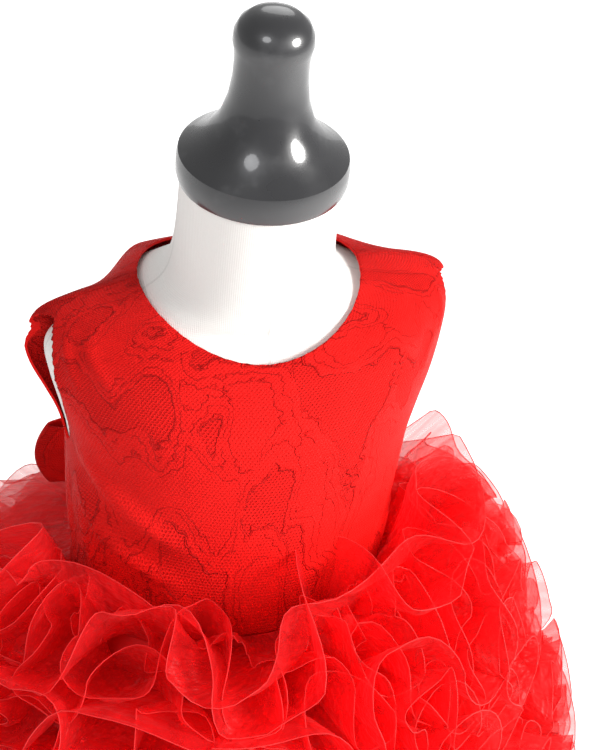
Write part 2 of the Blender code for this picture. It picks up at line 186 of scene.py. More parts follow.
# Size of the cloudy patches of painted shade on the lace.
SHADE_CLOUD_MM = 22.0
HOLES_IN_MOTIF = 0.45
LACE_DEPTH = 0.0013
FILLED_RELIEF = 0.70
CORD_RELIEF = 0.9
HOLE_RELIEF = -0.60
FINE_RELIEF = 0.45
# Painted shade in the holes, along the cords and in cloudy patches; the last share is the fine grain.
HOLE_SHADE = 0.24
CORD_SHADE = 0.18
CLOUD_SHADE = 0.10
FINE_DEEP = 0.12


def noise_at(tree, place, size_mm, detail=0.0, offset=(0.0, 0.0, 0.0)):
    """Smooth noise of about size_mm between its hills, read at a place in millimetres."""
    moved = add(tree, "ShaderNodeVectorMath", {"operation": "ADD"}, _0=place, _1=offset).outputs[0]
    return add(
        tree, "ShaderNodeTexNoise", {"noise_dimensions": "2D"},
        Vector=moved, Scale=1.0 / size_mm, Detail=detail,
    )


def warped(tree, place, size_mm, reach_mm):
    """A place pushed about by noise, so that straight things drawn on it wander."""
    drift = noise_at(tree, place, size_mm, 1.0).outputs["Color"]
    shift = add(
        tree, "ShaderNodeVectorMath", {"operation": "SUBTRACT"}, _0=drift, _1=(0.5, 0.5, 0.5),
    ).outputs[0]
    push = add(
        tree, "ShaderNodeVectorMath", {"operation": "SCALE"}, _0=shift, Scale=reach_mm,
    ).outputs[0]
    return add(tree, "ShaderNodeVectorMath", {"operation": "ADD"}, _0=place, _1=push).outputs[0]


def line_along(tree, distance, half_width):
    """1 on the zero line of a distance, falling to 0 beside it."""
    return band(tree, maths(tree, "ABSOLUTE", distance), half_width * 0.5, half_width * 1.5, 1.0, 0.0)


def net_holes(tree, flat):
    """0 on the threads of the net and 1 in its holes, which lie in slanting rows."""
    turned = add(
        tree, "ShaderNodeMapping", Vector=flat, Rotation=(0.0, 0.0, NET_TURN),
    ).outputs["Vector"]
    wobbly = warped(tree, turned, 6.0, 0.9)
    parts = add(tree, "ShaderNodeSeparateXYZ", Vector=wobbly)
    frequency = 2.0 * math.pi / NET_PITCH_MM
    slant_a = maths(tree, "MULTIPLY_ADD", parts.outputs["Y"], NET_SLANT, parts.outputs["X"])
    slant_b = maths(tree, "MULTIPLY_ADD", parts.outputs["Y"], -NET_SLANT, parts.outputs["X"])
    wave_a = maths(tree, "SINE", maths(tree, "MULTIPLY", slant_a, frequency / 2.0))
    wave_b = maths(tree, "SINE", maths(tree, "MULTIPLY", slant_b, frequency / 2.0))
    return band(tree, maths(tree, "ABSOLUTE", maths(tree, "MULTIPLY", wave_a, wave_b)), 0.25, 0.85)


def lace_finish():
    material, tree, end = new_finish("corded_lace")
    flat = cloth_mm(tree)
    tall = add(
        tree, "ShaderNodeMapping", Vector=flat, Scale=(1.0, MOTIF_STRETCH, 1.0),
    ).outputs["Vector"]
    place = warped(tree, tall, MOTIF_DRIFT_MM, MOTIF_DRIFT_REACH_MM)
    scallops = add(
        tree, "ShaderNodeTexVoronoi", {"voronoi_dimensions": "2D"},
        Vector=warped(tree, flat, SCALLOP_DRIFT_MM, SCALLOP_DRIFT_REACH_MM),
        Scale=1.0 / SCALLOP_MM, Randomness=0.8,
    ).outputs["Distance"]
    fine = noise_at(tree, flat, FINE_MM, 2.0).outputs["Fac"]
    hills = noise_at(tree, place, MOTIF_MM, 0.6).outputs["Fac"]
    field = maths(tree, "MULTIPLY_ADD", scallops, -SCALLOP_DEPTH, hills)
    field = maths(tree, "MULTIPLY_ADD", fine, SERRATION, field)
    broken = noise_at(tree, flat, BREAK_MM, 1.0, (40.0, 7.0, 0.0)).outputs["Fac"]
    cords = None
    for level in LEVELS:
        line = line_along(tree, maths(tree, "SUBTRACT", field, level.height), CORD_HALF)
        whole = band(tree, broken, level.break_share - 0.05, level.break_share + 0.05)
        line = maths(tree, "MULTIPLY", line, whole)
        cords = line if cords is None else maths(tree, "MAXIMUM", cords, line)
    filled = band(tree, field, LEVELS[0].height - 0.01, LEVELS[0].height + 0.01)
    hole = net_holes(tree, flat)
    hole = maths(tree, "MULTIPLY", hole, band(tree, filled, 0.0, 1.0, 1.0, HOLES_IN_MOTIF))

    relief = maths(tree, "MULTIPLY", cords, CORD_RELIEF)
    relief = maths(tree, "MULTIPLY_ADD", filled, FILLED_RELIEF, relief)
    relief = maths(tree, "MULTIPLY_ADD", hole, HOLE_RELIEF, relief)
    relief = maths(tree, "MULTIPLY_ADD", fine, FINE_RELIEF, relief)
    bump = add(tree, "ShaderNodeBump", Height=relief, Strength=1.0, Distance=LACE_DEPTH)

    # Painted shade: holes, cords and cloudy patches darken towards the shaded red; the fine noise is
    # grain.
    shade_and_grain = maths(tree, "MULTIPLY_ADD", hole, HOLE_SHADE, maths(tree, "MULTIPLY", cords, CORD_SHADE))
    cloudy = noise_at(tree, flat, SHADE_CLOUD_MM, 2.0, (9.0, 90.0, 0.0)).outputs["Fac"]
    shade_and_grain = maths(tree, "MULTIPLY_ADD", band(tree, cloudy, 0.64, 0.36), CLOUD_SHADE, shade_and_grain)
    shade_and_grain = maths(tree, "MULTIPLY_ADD", band(tree, fine, 0.66, 0.36), FINE_DEEP, shade_and_grain)
    colour = mixed(tree, shade_and_grain, RED_LACE, RED_SHADE_AND_GRAIN)
    shader = add(
        tree, "ShaderNodeBsdfPrincipled", Base_Color=colour, Normal=bump.outputs["Normal"],
        Roughness=band(tree, filled, 0.0, 1.0, 0.62, 0.50), Sheen_Weight=0.02, Sheen_Roughness=0.4,
        Sheen_Tint=(1.0, 0.45, 0.42, 1.0), Specular_IOR_Level=0.05,
    )
    tree.links.new(shader.outputs[0], end.inputs["Surface"])
    return material


lace = lace_finish()

# %% [markdown]
# Organza is a very fine, stiff, see-through weave. One layer shows what is behind it, and ten are
# solid red. So the cloth is one open surface, and its shader mixes a clear share with a red that
# light also passes through. The share varies with the thread so that a layer has grain. Narrow
# gathers run out from the seam, and the cloth between them is a little crushed.

# %% Organza, thread and satin finishes
COVER_AT_SEAM = 0.88
COVER_AT_EDGE = 0.54
ORGANZA_THROUGH = 0.60
GATHERS_PER_MM = (0.11, 0.014, 1.0)
SEAM_REACH_MM = 52.0
THREAD_GRAIN_MM = 0.7
CRUSHED_MM = 9.0
CRUSHED_RELIEF = 0.9
ORGANZA_DEPTH = 0.0050
THREAD_TWIST_MM = 0.9


def organza_finish():
    material, tree, end = new_finish("organza")
    flat = cloth_mm(tree)
    parts = add(tree, "ShaderNodeSeparateXYZ", Vector=flat)
    stretched = add(tree, "ShaderNodeMapping", Vector=flat, Scale=GATHERS_PER_MM).outputs["Vector"]
    gathers = add(
        tree, "ShaderNodeTexNoise", Vector=stretched, Scale=1.0, Detail=1.0,
    ).outputs["Fac"]
    grain = noise_at(tree, flat, THREAD_GRAIN_MM, 1.0).outputs["Fac"]
    near_seam = band(tree, parts.outputs["Y"], 0.0, SEAM_REACH_MM, 1.0, 0.0)
    cover = maths(tree, "MULTIPLY_ADD", near_seam, COVER_AT_SEAM - COVER_AT_EDGE, COVER_AT_EDGE)
    cover = maths(tree, "MULTIPLY_ADD", band(tree, gathers, 0.35, 0.65), 0.16, cover)
    cover = maths(tree, "MULTIPLY_ADD", grain, 0.16, maths(tree, "SUBTRACT", cover, 0.14))
    height = maths(tree, "MULTIPLY", gathers, maths(tree, "MULTIPLY_ADD", near_seam, 0.8, 0.35))
    crushed = noise_at(tree, flat, CRUSHED_MM, 2.0, (70.0, 30.0, 0.0)).outputs["Fac"]
    height = maths(tree, "MULTIPLY_ADD", crushed, CRUSHED_RELIEF, height)
    crimp = add(tree, "ShaderNodeBump", Height=height, Strength=0.8, Distance=ORGANZA_DEPTH)
    front = add(
        tree, "ShaderNodeBsdfPrincipled", Base_Color=RED_ORGANZA, Roughness=0.42,
        Normal=crimp.outputs["Normal"], Sheen_Weight=0.18, Sheen_Roughness=0.35,
        Sheen_Tint=(1.0, 0.40, 0.40, 1.0), Specular_IOR_Level=0.55,
    )
    through = add(
        tree, "ShaderNodeBsdfTranslucent", Color=RED_THROUGH, Normal=crimp.outputs["Normal"],
    )
    cloth = add(
        tree, "ShaderNodeMixShader", Fac=ORGANZA_THROUGH, _1=front.outputs[0], _2=through.outputs[0],
    )
    clear = add(tree, "ShaderNodeBsdfTransparent")
    sheer = add(tree, "ShaderNodeMixShader", Fac=cover, _1=clear.outputs[0], _2=cloth.outputs[0])
    tree.links.new(sheer.outputs[0], end.inputs["Surface"])
    return material


def thread_finish():
    material, tree, end = new_finish("edge_thread")
    flat = cloth_mm(tree)
    parts = add(tree, "ShaderNodeSeparateXYZ", Vector=flat)
    slant = maths(tree, "MULTIPLY_ADD", parts.outputs["Y"], 0.5, parts.outputs["X"])
    twist = maths(tree, "SINE", maths(tree, "MULTIPLY", slant, 6.283 / THREAD_TWIST_MM))
    bump = add(tree, "ShaderNodeBump", Height=twist, Strength=0.5, Distance=0.0002)
    colour = mixed(tree, band(tree, twist, -1.0, 1.0, 0.0, 0.5), RED_THREAD, RED_SATIN)
    shader = add(
        tree, "ShaderNodeBsdfPrincipled", Base_Color=colour, Roughness=0.45,
        Normal=bump.outputs["Normal"], Sheen_Weight=0.04, Sheen_Tint=(1.0, 0.55, 0.55, 1.0),
    )
    tree.links.new(shader.outputs[0], end.inputs["Surface"])
    return material


def satin_finish():
    material, tree, end = new_finish("satin")
    place = add(tree, "ShaderNodeTexCoord").outputs["Object"]
    weave = add(tree, "ShaderNodeTexNoise", Vector=place, Scale=900.0, Detail=2.0).outputs["Fac"]
    # Painted shade: soft noise patches darken the satin towards the shaded red, standing for shade in
    # its folds.
    folds = add(tree, "ShaderNodeTexNoise", Vector=place, Scale=30.0, Detail=1.0).outputs["Fac"]
    bump = add(tree, "ShaderNodeBump", Height=weave, Strength=0.3, Distance=0.0002)
    colour = mixed(tree, band(tree, folds, 0.3, 0.7, 0.0, 0.5), RED_SATIN, RED_SHADE_AND_GRAIN)
    shader = add(
        tree, "ShaderNodeBsdfPrincipled", Base_Color=colour, Roughness=0.6,
        Normal=bump.outputs["Normal"], Specular_IOR_Level=0.2,
    )
    tree.links.new(shader.outputs[0], end.inputs["Surface"])
    return material


organza = organza_finish()
thread = thread_finish()
satin = satin_finish()

# %% [markdown]
# The form is covered in white cloth with a seam down its front, back and sides. Its neck ends in
# a turned and lacquered cap, and its pole and foot are black painted steel.

# %% Form and stand finishes
LINEN = (0.76, 0.74, 0.71, 1.0)
LINEN_SEAM = (0.50, 0.48, 0.45, 1.0)
THREADS_PER_M = 1000.0
WORN = (0.12, 0.12, 0.125, 1.0)


def linen_finish():
    material, tree, end = new_finish("form_linen")
    place = add(tree, "ShaderNodeTexCoord").outputs["Object"]
    parts = add(tree, "ShaderNodeSeparateXYZ", Vector=place)
    turns = 6.283 * THREADS_PER_M
    weft = maths(tree, "SINE", maths(tree, "MULTIPLY", parts.outputs["Z"], turns))
    warp = maths(tree, "SINE", maths(tree, "MULTIPLY", parts.outputs["X"], turns))
    slub = add(tree, "ShaderNodeTexNoise", Vector=place, Scale=260.0, Detail=3.0).outputs["Fac"]
    weave = maths(tree, "MULTIPLY_ADD", maths(tree, "ADD", weft, warp), 0.2, slub)
    from_front_seam = maths(tree, "ABSOLUTE", parts.outputs["X"])
    from_side_seam = maths(tree, "ABSOLUTE", parts.outputs["Y"])
    near_seam = maths(tree, "MINIMUM", from_front_seam, from_side_seam)
    seam = band(tree, near_seam, 0.0004, 0.0012, 1.0, 0.0)
    height = maths(tree, "MULTIPLY_ADD", seam, -2.0, weave)
    bump = add(tree, "ShaderNodeBump", Height=height, Strength=0.35, Distance=0.0004)
    colour = mixed(tree, maths(tree, "MULTIPLY", seam, 0.3), LINEN, LINEN_SEAM)
    shader = add(
        tree, "ShaderNodeBsdfPrincipled", Base_Color=colour, Roughness=0.85,
        Normal=bump.outputs["Normal"], Sheen_Weight=0.15,
    )
    tree.links.new(shader.outputs[0], end.inputs["Surface"])
    return material


def painted_finish(name, colour, roughness, grain_scale, grain, metallic=0.0, coat=0.0):
    material, tree, end = new_finish(name)
    place = add(tree, "ShaderNodeTexCoord").outputs["Object"]
    speckle = add(
        tree, "ShaderNodeTexNoise", Vector=place, Scale=grain_scale, Detail=4.0,
    ).outputs["Fac"]
    bump = add(tree, "ShaderNodeBump", Height=speckle, Strength=grain, Distance=0.0003)
    worn = mixed(tree, band(tree, speckle, 0.55, 0.75, 0.0, 0.25), colour, WORN)
    uneven = band(tree, speckle, 0.3, 0.7, roughness * 0.8, roughness * 1.3)
    shader = add(
        tree, "ShaderNodeBsdfPrincipled", Base_Color=worn, Metallic=metallic,
        Normal=bump.outputs["Normal"], Roughness=uneven, Coat_Weight=coat, Coat_Roughness=0.08,
    )
    tree.links.new(shader.outputs[0], end.inputs["Surface"])
    return material


linen = linen_finish()
lacquer = painted_finish(
    "black_lacquer", (0.022, 0.022, 0.024, 1.0), roughness=0.30, grain_scale=45.0, grain=0.15, coat=0.6,
)
steel = painted_finish(
    "black_steel", (0.020, 0.020, 0.022, 1.0), roughness=0.38, grain_scale=400.0, grain=0.3,
    metallic=0.4,
)

# %% [markdown]
# Each piece of cloth starts as a flat grid, and a function moves every point of it into place, as
# a cutter's flat pattern goes round the body. The grid keeps its flat size in a UV map in metres,
# which is what the finishes read, so the lace and the weave follow the cloth.

# %% Cloth helpers


def cloth_grid(columns, rows, width, height, place):
    """A grid of cloth. place(across, up) gives the point for shares from 0 to 1 of each way."""
    shape = bmesh.new()
    flat = shape.loops.layers.uv.new("cloth")
    bmesh.ops.create_grid(shape, x_segments=columns, y_segments=rows, size=0.5)
    for face in shape.faces:
        for corner in face.loops:
            corner[flat].uv = (
                (corner.vert.co.x + 0.5) * width,
                (corner.vert.co.y + 0.5) * height,
            )
    for vertex in shape.verts:
        vertex.co = place(vertex.co.x + 0.5, vertex.co.y + 0.5)
    return shape


def to_piece(shape, name, material, replaces=()):
    """Ends a bmesh as a named piece of the object, riding on its one body."""
    mesh = bpy.data.meshes.new(name)
    shape.to_mesh(mesh)
    shape.free()
    mesh.materials.append(material)
    mesh.shade_smooth()
    piece = bpy.data.objects.new(name, mesh)
    bpy.context.scene.collection.objects.link(piece)
    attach(piece, "root")
    if replaces:
        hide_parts(*replaces)
    return piece


def finish_modifiers(piece):
    """Turns the piece's modifiers into its mesh."""
    evaluated = piece.evaluated_get(bpy.context.evaluated_depsgraph_get())
    mesh = bpy.data.meshes.new_from_object(evaluated)
    piece.modifiers.clear()
    piece.data = mesh


# %% [markdown]
# The body under the cloth is a stack of ellipses. A smooth curve through the table's rows gives
# the section at any height, so the fine pieces stay round where the solids have flats.

# %% Sections of the bodice and skirt
Section = namedtuple("Section", "height half_width half_depth centre_y")
BODICE = [
    Section(0.0005, 0.0950, 0.0730, 0.000),
    Section(0.0300, 0.0952, 0.0742, 0.000),
    Section(0.0600, 0.0962, 0.0765, 0.000),
    Section(0.0900, 0.0974, 0.0788, 0.000),
    Section(0.1150, 0.0992, 0.0792, 0.001),
    Section(0.1350, 0.1035, 0.0780, 0.002),
    Section(0.1550, 0.1085, 0.0745, 0.002),
    Section(0.1730, 0.1120, 0.0690, 0.003),
    Section(0.1870, 0.1130, 0.0628, 0.003),
    Section(0.1960, 0.1118, 0.0560, 0.004),
    Section(0.2020, 0.1068, 0.0480, 0.004),
    Section(0.2070, 0.0952, 0.0390, 0.004),
    Section(0.2110, 0.0785, 0.0290, 0.004),
    Section(0.2140, 0.0600, 0.0180, 0.004),
]
UNDERSKIRT = [
    Section(-0.3550, 0.2230, 0.2180, 0.0),
    Section(-0.3150, 0.2155, 0.2095, 0.0),
    Section(-0.2600, 0.2040, 0.1970, 0.0),
    Section(-0.2050, 0.1900, 0.1815, 0.0),
    Section(-0.1500, 0.1740, 0.1640, 0.0),
    Section(-0.0950, 0.1540, 0.1410, 0.0),
    Section(-0.0450, 0.1290, 0.1130, 0.0),
    Section(-0.0150, 0.1065, 0.0865, 0.0),
    Section(-0.0005, 0.0950, 0.0730, 0.0),
]


def section_by_row(sections, row):
    """A section at a row number of its table, whole or between two, on a smooth curve."""
    last = len(sections) - 1
    low = min(int(row), last - 1)
    share = row - low
    before, first, second, after = (sections[max(0, min(last, low + k))] for k in (-1, 0, 1, 2))
    values = []
    for p, a, b, n in zip(before, first, second, after):
        tilt_a, tilt_b = (b - p) / 2.0, (n - a) / 2.0
        s = share
        values.append(
            (2 * s**3 - 3 * s**2 + 1) * a + (s**3 - 2 * s**2 + s) * tilt_a
            + (3 * s**2 - 2 * s**3) * b + (s**3 - s**2) * tilt_b
        )
    return Section(*values)


def section_at(sections, height):
    """The section at a height above the waist seam."""
    heights = [section.height for section in sections]
    for low in range(len(heights) - 1):
        if heights[low] <= height <= heights[low + 1]:
            share = (height - heights[low]) / (heights[low + 1] - heights[low])
            a, b = sections[low], sections[low + 1]
            return Section(*(x + (y - x) * share for x, y in zip(a, b)))
    return sections[0] if height < heights[0] else sections[-1]


def ellipse_point(section, degrees, grow=0.0):
    """A point of a section, moved out along the ellipse's normal by grow."""
    angle = math.radians(degrees)
    point = Vector((
        section.half_width * math.cos(angle),
        section.centre_y + section.half_depth * math.sin(angle),
        waist + section.height,
    ))
    normal = Vector((math.cos(angle) / section.half_width, math.sin(angle) / section.half_depth, 0.0))
    return point + normal.normalized() * grow


# %% [markdown]
# The shoulders are thin at their tips: behind the shoulder ridge, form and cloth draw in. Both
# also lean a little, so that the wearer's right shoulder is the lower one.

# %% Shoulders
RIDGE_Y = 0.0040
TIP_DRAW = 0.60
TIP_START_X = 0.0500
TIP_FULL_X = 0.0850
TIP_START_HEIGHT = 0.1500
TIP_FULL_HEIGHT = 0.1900
LEAN = 0.050
LEAN_START_HEIGHT = 0.120
LEAN_START_X = 0.0450
LEAN_FULL_X = 0.0800


def eased(value, start, end):
    """0 at start and 1 at end, smooth between."""
    share = min(1.0, max(0.0, (value - start) / (end - start)))
    return share * share * (3.0 - 2.0 * share)


def shoulder_point(point):
    """Draws a point of form or bodice in behind the shoulder tips, and leans the shoulders."""
    height = point.z - waist
    at_tip = eased(abs(point.x), TIP_START_X, TIP_FULL_X)
    draw = TIP_DRAW * at_tip * eased(height, TIP_START_HEIGHT, TIP_FULL_HEIGHT)
    behind_ridge = max(0.0, point.y - RIDGE_Y)
    at_side = eased(abs(point.x), LEAN_START_X, LEAN_FULL_X)
    rise = LEAN * point.x * at_side * eased(height, LEAN_START_HEIGHT, TIP_FULL_HEIGHT)
    return Vector((point.x, point.y - draw * behind_ridge, point.z + rise))


# %% [markdown]
# The bodice is a front and two back panels. Dragging between the tight waist and the wider chest,
# the cloth lies in soft diagonal folds, and at the back armhole edge it stands off the form. The
# first eight folds of the table are those of the solids, and the others are finer ones among them.
# The armholes and neck are cut with slightly jagged ovals, because corded lace is left raw there.

# %% Bodice panels
Fold = namedtuple("Fold", "angle_a height_a angle_b height_b half_width depth")
FOLDS = [
    Fold(168.0, 0.108, 170.0, 0.210, 0.0130, 0.0095),
    Fold(17.0, 0.112, 14.0, 0.207, 0.0170, 0.0030),
    Fold(189.0, 0.098, 246.0, 0.040, 0.0068, 0.0050),
    Fold(178.0, 0.104, 187.0, 0.004, 0.0050, 0.0026),
    Fold(356.0, 0.060, 330.0, 0.010, 0.0080, 0.0020),
    Fold(176.0, 0.064, 146.0, 0.008, 0.0080, 0.0026),
    Fold(5.0, 0.070, 32.0, 0.006, 0.0085, 0.0028),
    Fold(3.0, 0.036, 20.0, 0.004, 0.0060, 0.0020),
    Fold(188.0, 0.094, 243.0, 0.042, 0.0044, 0.0072),
    Fold(192.0, 0.062, 222.0, 0.012, 0.0045, 0.0040),
    Fold(226.0, 0.050, 262.0, 0.006, 0.0050, 0.0010),
    Fold(330.0, 0.110, 318.0, 0.040, 0.0060, 0.0008),
    Fold(202.0, 0.207, 213.0, 0.172, 0.0034, 0.0018),
    Fold(194.0, 0.203, 202.0, 0.160, 0.0030, 0.0018),
    Fold(210.0, 0.208, 226.0, 0.180, 0.0034, 0.0014),
    Fold(184.0, 0.076, 226.0, 0.014, 0.0050, 0.0022),
    Fold(197.0, 0.124, 250.0, 0.074, 0.0070, 0.0050),
    Fold(338.0, 0.205, 330.0, 0.172, 0.0036, 0.0014),
    Fold(334.0, 0.200, 324.0, 0.160, 0.0040, 0.0010),
    Fold(60.0, 0.090, 84.0, 0.020, 0.0060, 0.0010),
    Fold(120.0, 0.090, 97.0, 0.020, 0.0060, 0.0010),
]
LACE_WALL = 0.0014
SEAM_GAP = 0.0003
MEAN_RADIUS = 0.088
BODICE_LENGTH = 0.250
BODICE_COLUMNS = 120
BODICE_ROWS = 96


def fold_rise(degrees, height, radius):
    """How far the folds lift the bodice at an angle and height."""
    rise = 0.0
    here = Vector((math.radians(degrees) * radius, height))
    for fold in FOLDS:
        start = Vector((math.radians(fold.angle_a) * radius, fold.height_a))
        end = Vector((math.radians(fold.angle_b) * radius, fold.height_b))
        run = end - start
        along = (here - start).dot(run) / run.length_squared
        if not 0.0 < along < 1.0:
            continue
        aside = (here - start - run * along).length / fold.half_width
        rise = max(rise, fold.depth * math.exp(-aside * aside) * math.sin(math.pi * along))
    return rise


def oval_cutter(name, half_a, half_b, length, centre, along_x, ragged):
    """A closed oval cylinder with a slightly jagged side, used to cut and then removed."""
    shape = bmesh.new()
    bmesh.ops.create_cone(shape, cap_ends=True, segments=180, radius1=1.0, radius2=1.0, depth=length)
    for vertex in shape.verts:
        angle = math.atan2(vertex.co.y, vertex.co.x)
        uneven = abs(math.sin(angle * 23.0)) + 0.6 * noise.noise(Vector((angle * 9.0, 3.0, 0.0)))
        tooth = 1.0 + ragged * uneven
        vertex.co.x *= half_a * tooth
        vertex.co.y *= half_b * tooth
    if along_x:
        for vertex in shape.verts:
            x, y, z = vertex.co
            vertex.co = Vector((z, y, -x))
    bmesh.ops.translate(shape, vec=centre, verts=shape.verts)
    mesh = bpy.data.meshes.new(name)
    shape.to_mesh(mesh)
    shape.free()
    cutter = bpy.data.objects.new(name, mesh)
    bpy.context.scene.collection.objects.link(cutter)
    return cutter


def cut_out(piece, cutter):
    difference = piece.modifiers.new("cut", "BOOLEAN")
    difference.operation = "DIFFERENCE"
    difference.solver = "EXACT"
    difference.object = cutter


ARMHOLE_HALF_DEPTH = 0.0190
ARMHOLE_CENTRE_Y = -0.0037
Armhole = namedtuple("Armhole", "side x_sign height half_height")
ARMHOLES = [
    Armhole("right", -1, 0.155, 0.042),
    Armhole("left", 1, 0.160, 0.047),
]
neck_centre = Vector((0.0, 0.002, waist + 0.238))
neck_cutter = oval_cutter("neck_cut", 0.0600, 0.0565, 0.16, neck_centre, False, 0.004)
armhole_cutters = {
    hole.side: oval_cutter(
        f"armhole_cut_{hole.side}", hole.half_height, ARMHOLE_HALF_DEPTH, 0.16,
        Vector((hole.x_sign * 0.125, ARMHOLE_CENTRE_Y, waist + hole.height)), True, 0.022,
    )
    for hole in ARMHOLES
}


def bodice_panel(name, first, last, push, cutters):
    """One panel of the bodice, between two angles round the body."""
    columns = int(BODICE_COLUMNS * (last - first) / 180.0)
    girth = math.radians(last - first) * MEAN_RADIUS

    def place(along, up):
        section = section_by_row(BODICE, up * (len(BODICE) - 1))
        degrees = first + (last - first) * along
        rise = fold_rise(degrees % 360.0, section.height, section.half_width)
        return shoulder_point(ellipse_point(section, degrees, rise)) + Vector(push)

    shape = cloth_grid(columns, BODICE_ROWS, girth, BODICE_LENGTH, place)
    piece = to_piece(shape, f"{name}_lace", lace, [name])
    wall = piece.modifiers.new("wall", "SOLIDIFY")
    wall.thickness = LACE_WALL
    wall.offset = 1.0
    for cutter in cutters:
        cut_out(piece, cutter)
    finish_modifiers(piece)
    print(name, len(piece.data.polygons), "faces")
    return piece


half_gap = SEAM_GAP / 2.0
bodice_pieces = [
    bodice_panel(
        "bodice_front", 180.0, 360.0, (0.0, -half_gap, 0.0),
        [neck_cutter, armhole_cutters["right"], armhole_cutters["left"]],
    ),
    bodice_panel(
        "bodice_back_left", 0.0, 90.0, (half_gap, half_gap, 0.0),
        [neck_cutter, armhole_cutters["left"]],
    ),
    bodice_panel(
        "bodice_back_right", 90.0, 180.0, (-half_gap, half_gap, 0.0),
        [neck_cutter, armhole_cutters["right"]],
    ),
]
for cutter in (neck_cutter, *armhole_cutters.values()):
    bpy.data.objects.remove(cutter)

# %% [markdown]
# The underskirt is a plain satin bell. It hardly shows, but it closes the gaps between ruffles with
# deep red, as in the real skirt.

# %% Underskirt
SKIRT_WALL = 0.0012
SKIRT_FLAT = (0.40, 1.40)
SKIRT_RIPPLES = 24.0
SKIRT_RIPPLE_DEPTH = 0.0006
GORES = ["underskirt_front", "underskirt_left", "underskirt_back", "underskirt_right"]


def skirt_place(along, up):
    section = section_by_row(UNDERSKIRT, up * (len(UNDERSKIRT) - 1))
    ripple = SKIRT_RIPPLE_DEPTH * math.sin(along * 2.0 * math.pi * SKIRT_RIPPLES) * (1.0 - up)
    return ellipse_point(section, 360.0 * along, ripple)


shape = cloth_grid(192, 48, SKIRT_FLAT[1], SKIRT_FLAT[0], skirt_place)
bmesh.ops.remove_doubles(shape, verts=shape.verts, dist=0.00005)
underskirt = to_piece(shape, "underskirt_satin", satin, GORES)
wall = underskirt.modifiers.new("wall", "SOLIDIFY")
wall.thickness = SKIRT_WALL
wall.offset = 1.0
finish_modifiers(underskirt)

# %% [markdown]
# A ruffle is a strip gathered to about a third of its length along its seam. Its free edge keeps
# its full length, so it swings up and down in loops. Here a strip leaves its seam at an angle that
# waves as it goes round, bends in an arc on the way out, flutters near its edge and is creased.
# Each tier of the skirt is four such strips near the same seam, out of step with each other, which
# fills the skirt the way the real one is filled. The top tier has a short heading strip as well.

# %% Ruffle tiers
Tier = namedtuple("Tier", "height strip lift swing rear_lift rear_swing waves crest uneven")
TIERS = [
    Tier(-0.0050, 0.078, 50.0, 36.0, -27.0, 7.0, 7, 243.0, -0.7),
    Tier(-0.0270, 0.078, 25.0, 30.0, -35.0, 7.0, 7, 243.0, -0.7),
    Tier(-0.0560, 0.073, 12.0, 25.0, -36.0, 7.0, 7, 243.0, -0.7),
    Tier(-0.0950, 0.074, -4.0, 18.0, -37.0, 8.0, 13, 229.0, 2.9),
    Tier(-0.1400, 0.074, -3.0, 20.0, -32.0, 9.0, 14, 250.0, 4.1),
    Tier(-0.1880, 0.073, -6.0, 20.0, -30.0, 10.0, 15, 238.0, 5.6),
    Tier(-0.2380, 0.072, -9.0, 20.0, -24.0, 12.0, 16, 255.0, 0.7),
    Tier(-0.2920, 0.070, -14.0, 21.0, -14.0, 21.0, 17, 244.0, 2.2),
]
ORGANZA_WALL = 0.0011
SLOPE_STEP = 0.003
REAR_CENTRE = 102.0
REAR_FULL = 62.0
REAR_NONE = 98.0
REAR_CALM = 0.6
LEAST_BEND = 0.01
LIFT_CHANCE = 13.0
ARCH_CHANCE = 24.0
FLUTTER = 20.0
LEAN_CHANCE = 0.24
SLOW_RIPPLE = 0.30
QUICK_RIPPLE = 0.20
CREASE_DEPTH = 0.0060
CREASES_PER_WAVE = 6.0
CREASE_LEVEL = 0.35

# How a strip of a tier differs from the tier's own wave: the share of its waves, its place along
# them, the share of the strip's width, the turn added to its lift, the share of the swing, how far
# it arches, how far its loops spread over the folds between, and how far below the seam it starts.
# In the top tier the second strip is a slow one, which lies as a wide lobe across the waist.
Strip = namedtuple("Strip", "name pace step reach tilt swing arch spread drop")
STRIPS = [
    Strip("", 1.0, 0.00, 1.00, 0.0, 1.00, 26.0, 0.090, 0.000),
    Strip("_between", 1.5, 0.45, 0.95, -4.0, 1.00, 46.0, 0.120, 0.007),
    Strip("_inner", 2.0, 0.70, 0.84, 3.0, 1.00, 60.0, 0.140, 0.014),
    Strip("_under", 1.7, 0.22, 0.86, -8.0, 0.90, 46.0, 0.120, 0.021),
]
HEADING = Strip("_heading", 2.6, 0.30, 0.55, -6.0, 0.55, 40.0, 0.110, -0.0038)
LOBE = Strip("_lobe", 0.57, 0.14, 0.97, 6.0, 0.62, 12.0, 0.060, 0.002)
EDGE_RADIUS = 0.00032
EDGE_SIDES = 4
columns_per_wave = 34
RUFFLE_ROWS = 8


def behind(degrees):
    """0 in front and at the sides, rising smoothly to 1 across the back."""
    away = abs((degrees - REAR_CENTRE + 180.0) % 360.0 - 180.0)
    return eased(-away, -REAR_NONE, -REAR_FULL)


def wander(wave, waves, pace, lane):
    """Smooth chance from about -1 to 1 that closes up round the ring."""
    turned = 2.0 * math.pi * wave / waves
    reach = waves * pace / (2.0 * math.pi)
    return 1.8 * noise.noise(Vector((reach * math.cos(turned), reach * math.sin(turned), lane)))


def waves_of(tier, strip):
    return round(tier.waves * strip.pace)


